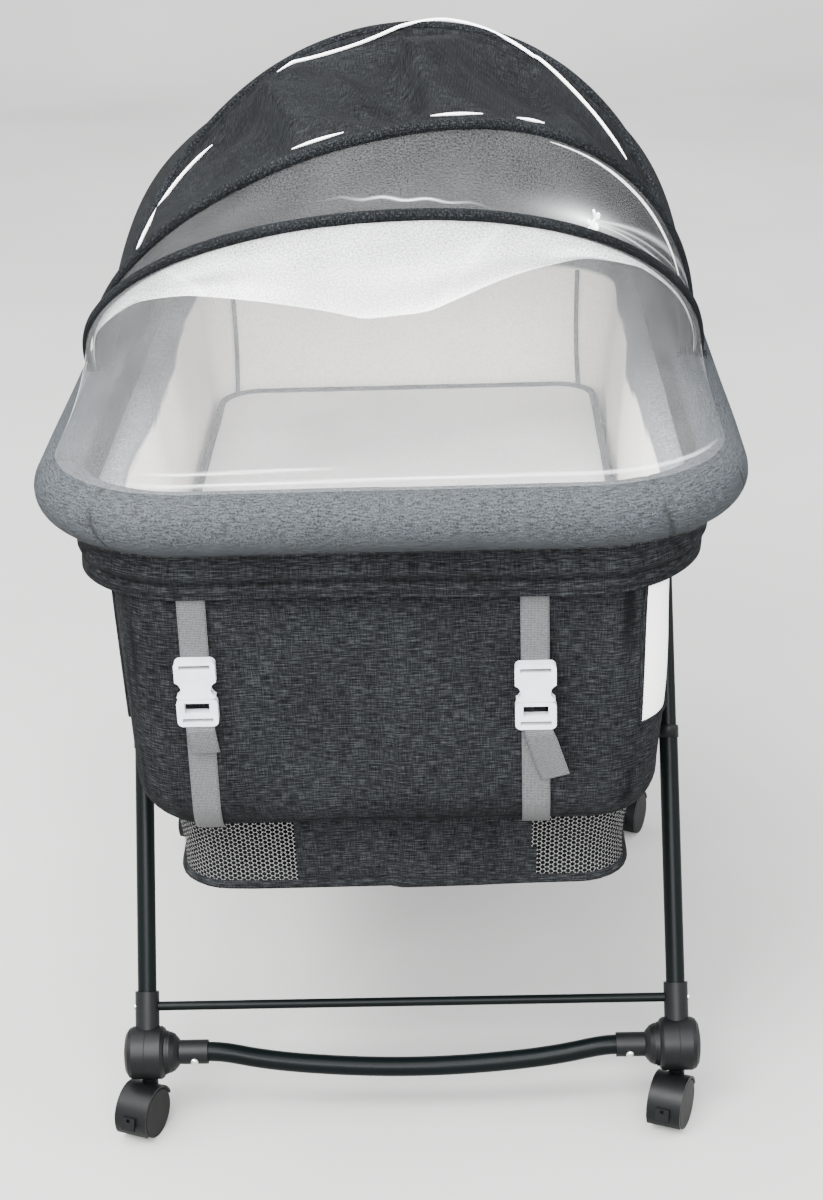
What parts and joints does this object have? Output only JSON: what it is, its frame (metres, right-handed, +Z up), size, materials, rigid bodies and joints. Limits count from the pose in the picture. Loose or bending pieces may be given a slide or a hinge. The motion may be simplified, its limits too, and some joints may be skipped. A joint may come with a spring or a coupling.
{
  "type": "bassinet on stand",
  "caption": "Baby bassinet on a folding wheeled A-frame stand, with padded rim, hooped canopy, insect net, mesh sides and hanging storage basket.",
  "frame": {"origin": "on the floor under the centre of the cradle's outline", "axes": "+X right seen from the foot end, +Y towards the canopy end, +Z up"},
  "size_m": [0.6298, 0.9398, 1.0467],
  "materials": {
    "frame_tube": "dark powder coat",
    "dark_plastic": "satin moulded",
    "wheel_plastic": "matt",
    "roll_knit": "light heathered knit",
    "dark_linen": "dark heathered linen",
    "white_mesh": "open mesh",
    "lining_mesh": "white mesh lining",
    "mattress_cover": "textured white",
    "board": "plain hardboard",
    "basket_cloth": "mesh with dark binding",
    "pin_steel": "bright",
    "webbing": "silver grey webbing",
    "buckle_plastic": "translucent white",
    "hoop_plastic": "cloth sleeved"
  },
  "bodies": {
    "cradle": {"rim_frame": "frame_tube", "rim_pad": "roll_knit", "body_shell": "dark_linen", "mesh_window_left": "white_mesh", "mesh_window_right": "white_mesh", "lining": "lining_mesh", "skirt_flap": "dark_linen", "mattress": "mattress_cover", "mattress_board": "board", "storage_basket": "basket_cloth", "hinge_pins": "pin_steel", "side_bracket_left": "dark_plastic", "strap_upper_left": "webbing", "strap_lower_left": "webbing", "buckle_female_left": "buckle_plastic", "buckle_male_left": "buckle_plastic", "side_bracket_right": "dark_plastic", "strap_upper_right": "webbing", "strap_lower_right": "webbing", "buckle_female_right": "buckle_plastic", "buckle_male_right": "buckle_plastic"},
    "canopy_front": {"hoop_front": "hoop_plastic", "mosquito_net": "white_mesh"},
    "canopy_middle": {"hoop_middle": "hoop_plastic"},
    "canopy_rear": {"hoop_rear": "hoop_plastic", "canopy_fabric": "dark_linen"},
    "front_legs": {"leg_upper_front_left": "frame_tube", "leg_upper_front_right": "frame_tube"},
    "front_foot": {"cross_bar_front": "frame_tube", "brace_rod_front": "frame_tube", "leg_lower_front_left": "frame_tube", "corner_hub_front_left": "dark_plastic", "leg_lower_front_right": "frame_tube", "corner_hub_front_right": "dark_plastic"},
    "front_bar_buttons": {"bar_buttons_front": "pin_steel"},
    "front_left_leg_button": {"leg_button_front_left": "pin_steel"},
    "front_left_caster": {"caster_hood_front_left": "dark_plastic"},
    "front_left_wheels": {"twin_wheels_front_left": "wheel_plastic"},
    "front_left_brake": {"brake_tab_front_left": "dark_plastic"},
    "front_right_leg_button": {"leg_button_front_right": "pin_steel"},
    "front_right_caster": {"caster_hood_front_right": "dark_plastic"},
    "front_right_wheels": {"twin_wheels_front_right": "wheel_plastic"},
    "front_right_brake": {"brake_tab_front_right": "dark_plastic"},
    "rear_legs": {"leg_upper_rear_left": "frame_tube", "leg_upper_rear_right": "frame_tube"},
    "rear_foot": {"cross_bar_rear": "frame_tube", "brace_rod_rear": "frame_tube", "leg_lower_rear_left": "frame_tube", "corner_hub_rear_left": "dark_plastic", "leg_lower_rear_right": "frame_tube", "corner_hub_rear_right": "dark_plastic"},
    "rear_bar_buttons": {"bar_buttons_rear": "pin_steel"},
    "rear_left_leg_button": {"leg_button_rear_left": "pin_steel"},
    "rear_left_caster": {"caster_hood_rear_left": "dark_plastic"},
    "rear_left_wheels": {"twin_wheels_rear_left": "wheel_plastic"},
    "rear_left_brake": {"brake_tab_rear_left": "dark_plastic"},
    "rear_right_leg_button": {"leg_button_rear_right": "pin_steel"},
    "rear_right_caster": {"caster_hood_rear_right": "dark_plastic"},
    "rear_right_wheels": {"twin_wheels_rear_right": "wheel_plastic"},
    "rear_right_brake": {"brake_tab_rear_right": "dark_plastic"}
  },
  "joints": [
    {"name": "front_leg_fold", "type": "hinge", "parent": "cradle", "child": "front_legs", "pos_m": [0, 0, 0.652], "axis": [1, 0, 0], "range_deg": [0, 19.5]},
    {"name": "rear_leg_fold", "type": "hinge", "parent": "cradle", "child": "rear_legs", "pos_m": [0, 0, 0.652], "axis": [1, 0, 0], "range_deg": [-19.5, 0]},
    {"name": "front_height_slide", "type": "slide", "parent": "front_legs", "child": "front_foot", "axis": [0, -0.4657, -0.8849], "range_m": [0, 0.08]},
    {"name": "front_bar_button_press", "type": "slide", "parent": "front_foot", "child": "front_bar_buttons", "axis": [0, 0.9272, 0.3746], "range_m": [0, 0.003], "stiffness_N_per_m": 400, "springref_m": -0.002},
    {"name": "front_left_leg_button_press", "type": "slide", "parent": "front_foot", "child": "front_left_leg_button", "axis": [1, 0, 0], "range_m": [0, 0.003], "stiffness_N_per_m": 400, "springref_m": -0.002},
    {"name": "front_left_swivel", "type": "hinge", "parent": "front_foot", "child": "front_left_caster", "pos_m": [-0.265, -0.3, 0.06], "axis": [0, 0, 1], "continuous": true},
    {"name": "front_left_wheel_roll", "type": "hinge", "parent": "front_left_caster", "child": "front_left_wheels", "pos_m": [-0.27174, -0.31669, 0.025], "axis": [0.9272, -0.3746, 0], "continuous": true},
    {"name": "front_left_brake_flip", "type": "hinge", "parent": "front_left_caster", "child": "front_left_brake", "pos_m": [-0.28253, -0.34339, 0.03451], "axis": [-0.9272, 0.3746, 0], "range_deg": [0, 25]},
    {"name": "front_right_leg_button_press", "type": "slide", "parent": "front_foot", "child": "front_right_leg_button", "axis": [-1, 0, 0], "range_m": [0, 0.003], "stiffness_N_per_m": 400, "springref_m": -0.002},
    {"name": "front_right_swivel", "type": "hinge", "parent": "front_foot", "child": "front_right_caster", "pos_m": [0.265, -0.3, 0.06], "axis": [0, 0, 1], "continuous": true},
    {"name": "front_right_wheel_roll", "type": "hinge", "parent": "front_right_caster", "child": "front_right_wheels", "pos_m": [0.25826, -0.31669, 0.025], "axis": [0.9272, -0.3746, 0], "continuous": true},
    {"name": "front_right_brake_flip", "type": "hinge", "parent": "front_right_caster", "child": "front_right_brake", "pos_m": [0.24747, -0.34339, 0.03451], "axis": [-0.9272, 0.3746, 0], "range_deg": [0, 25]},
    {"name": "rear_height_slide", "type": "slide", "parent": "rear_legs", "child": "rear_foot", "axis": [0, 0.4657, -0.8849], "range_m": [0, 0.08]},
    {"name": "rear_bar_button_press", "type": "slide", "parent": "rear_foot", "child": "rear_bar_buttons", "axis": [0, -0.9272, 0.3746], "range_m": [0, 0.003], "stiffness_N_per_m": 400, "springref_m": -0.002},
    {"name": "rear_left_leg_button_press", "type": "slide", "parent": "rear_foot", "child": "rear_left_leg_button", "axis": [1, 0, 0], "range_m": [0, 0.003], "stiffness_N_per_m": 400, "springref_m": -0.002},
    {"name": "rear_left_swivel", "type": "hinge", "parent": "rear_foot", "child": "rear_left_caster", "pos_m": [-0.265, 0.3, 0.06], "axis": [0, 0, 1], "continuous": true},
    {"name": "rear_left_wheel_roll", "type": "hinge", "parent": "rear_left_caster", "child": "rear_left_wheels", "pos_m": [-0.27174, 0.28331, 0.025], "axis": [0.9272, -0.3746, 0], "continuous": true},
    {"name": "rear_left_brake_flip", "type": "hinge", "parent": "rear_left_caster", "child": "rear_left_brake", "pos_m": [-0.28253, 0.25661, 0.03451], "axis": [-0.9272, 0.3746, 0], "range_deg": [0, 25]},
    {"name": "rear_right_leg_button_press", "type": "slide", "parent": "rear_foot", "child": "rear_right_leg_button", "axis": [-1, 0, 0], "range_m": [0, 0.003], "stiffness_N_per_m": 400, "springref_m": -0.002},
    {"name": "rear_right_swivel", "type": "hinge", "parent": "rear_foot", "child": "rear_right_caster", "pos_m": [0.265, 0.3, 0.06], "axis": [0, 0, 1], "continuous": true},
    {"name": "rear_right_wheel_roll", "type": "hinge", "parent": "rear_right_caster", "child": "rear_right_wheels", "pos_m": [0.25826, 0.28331, 0.025], "axis": [0.9272, -0.3746, 0], "continuous": true},
    {"name": "rear_right_brake_flip", "type": "hinge", "parent": "rear_right_caster", "child": "rear_right_brake", "pos_m": [0.24747, 0.25661, 0.03451], "axis": [-0.9272, 0.3746, 0], "range_deg": [0, 25]},
    {"name": "canopy_fold", "type": "hinge", "parent": "cradle", "child": "canopy_front", "pos_m": [0, -0.09, 0.729], "axis": [-1, 0, 0], "range_deg": [0, 50], "deforming": ["mosquito_net"]},
    {"name": "middle_hoop_fold", "type": "hinge", "parent": "canopy_front", "child": "canopy_middle", "pos_m": [0, -0.09, 0.729], "axis": [-1, 0, 0], "range_deg": [-1.5, 0]},
    {"name": "rear_hoop_fold", "type": "hinge", "parent": "canopy_middle", "child": "canopy_rear", "pos_m": [0, -0.09, 0.729], "axis": [-1, 0, 0], "range_deg": [-48.5, 0], "deforming": ["canopy_fabric"]}
  ],
  "couplings": [
    {"joint": "rear_leg_fold", "follows": "front_leg_fold", "ratio": -1},
    {"joint": "middle_hoop_fold", "follows": "canopy_fold", "ratio": -0.03},
    {"joint": "rear_hoop_fold", "follows": "canopy_fold", "ratio": -0.97}
  ]
}
